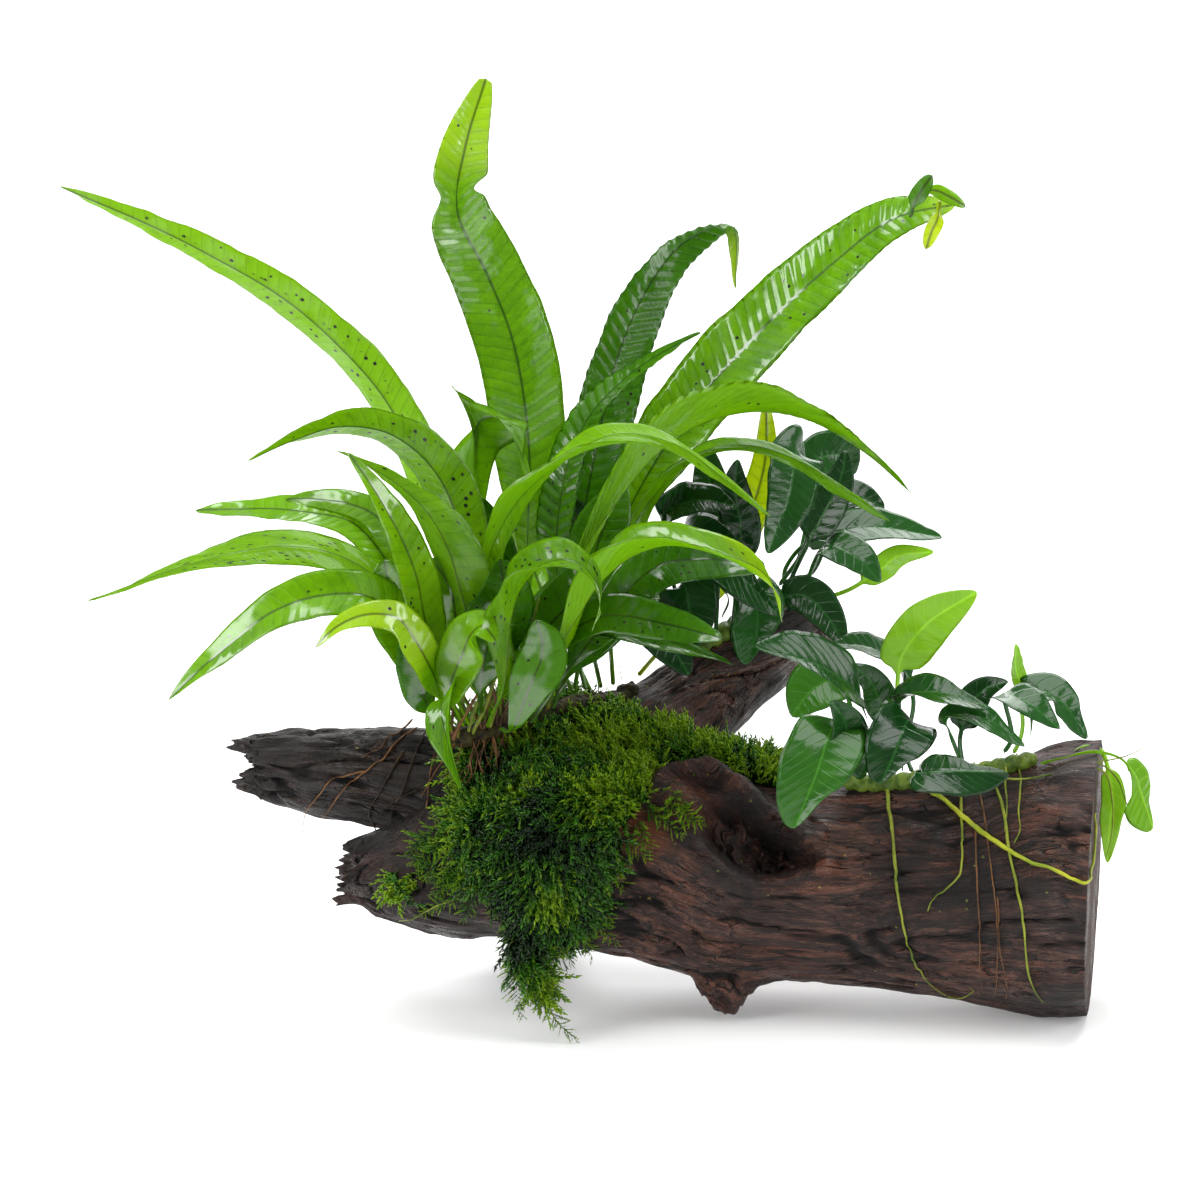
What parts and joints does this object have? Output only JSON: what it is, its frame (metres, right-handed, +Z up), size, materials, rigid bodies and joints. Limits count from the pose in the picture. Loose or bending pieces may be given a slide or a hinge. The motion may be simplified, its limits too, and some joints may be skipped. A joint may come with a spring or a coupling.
{
  "type": "java fern on driftwood",
  "caption": "Aquarium driftwood log, sawn at one end, planted with a clump of java fern, glossy anubias and a drape of moss.",
  "frame": {"origin": "under the middle of the whole piece, on the surface it rests on", "axes": "+Z up, +X along the log towards its sawn end, -Y towards the front of the piece"},
  "size_m": [0.515, 0.2426, 0.4455],
  "materials": {
    "driftwood": "wet, dark red-brown wood with deep grain furrows and black hollows",
    "fern_leaf": "wet translucent bright green blade with ladder-like side veins and dark spore dots",
    "anubias_leaf": "thick dark green glossy blade with pale midrib",
    "fern_rhizome": "brown-green creeping stem with dark hairs",
    "anubias_rhizome": "smooth ringed green stem",
    "anubias_root": "smooth yellow-green root",
    "moss": "soft feathery dark green fronds with yellow-green tips"
  },
  "bodies": {
    "root": {"anubias_back_leaf_01": "anubias_leaf", "anubias_back_leaf_02": "anubias_leaf", "anubias_back_leaf_03": "anubias_leaf", "anubias_back_leaf_04": "anubias_leaf", "anubias_back_leaf_05": "anubias_leaf", "anubias_back_leaf_06": "anubias_leaf", "anubias_back_leaf_07": "anubias_leaf", "anubias_back_leaf_08": "anubias_leaf", "anubias_back_leaf_09": "anubias_leaf", "anubias_back_rhizome": "anubias_rhizome", "anubias_right_leaf_01": "anubias_leaf", "anubias_right_leaf_02": "anubias_leaf", "anubias_right_leaf_03": "anubias_leaf", "anubias_right_leaf_04": "anubias_leaf", "anubias_right_leaf_05": "anubias_leaf", "anubias_right_leaf_06": "anubias_leaf", "anubias_right_leaf_07": "anubias_leaf", "anubias_right_leaf_08": "anubias_leaf", "anubias_right_leaf_09": "anubias_leaf", "anubias_right_leaf_10": "anubias_leaf", "anubias_right_leaf_11": "anubias_leaf", "anubias_right_leaf_12": "anubias_leaf", "anubias_right_leaf_13": "anubias_leaf", "anubias_right_rhizome": "anubias_rhizome", "anubias_root_1": "anubias_root", "anubias_root_2": "anubias_root", "anubias_root_3": "anubias_root", "driftwood_back_branch": "driftwood", "driftwood_back_root": "driftwood", "driftwood_left_limb": "driftwood", "driftwood_trunk": "driftwood", "fern_leaf_01": "fern_leaf", "fern_leaf_02": "fern_leaf", "fern_leaf_03": "fern_leaf", "fern_leaf_04": "fern_leaf", "fern_leaf_05": "fern_leaf", "fern_leaf_06": "fern_leaf", "fern_leaf_07": "fern_leaf", "fern_leaf_08": "fern_leaf", "fern_leaf_09": "fern_leaf", "fern_leaf_10": "fern_leaf", "fern_leaf_11": "fern_leaf", "fern_leaf_12": "fern_leaf", "fern_leaf_13": "fern_leaf", "fern_leaf_14": "fern_leaf", "fern_leaf_15": "fern_leaf", "fern_leaf_16": "fern_leaf", "fern_leaf_17": "fern_leaf", "fern_leaf_18": "fern_leaf", "fern_leaf_19": "fern_leaf", "fern_leaf_20": "fern_leaf", "fern_leaf_21": "fern_leaf", "fern_leaf_22": "fern_leaf", "fern_leaf_23": "fern_leaf", "fern_rhizome": "fern_rhizome", "moss_drape": "moss", "moss_hanging_strand": "moss", "moss_left_tuft": "moss", "moss_top": "moss"}
  },
  "joints": []
}
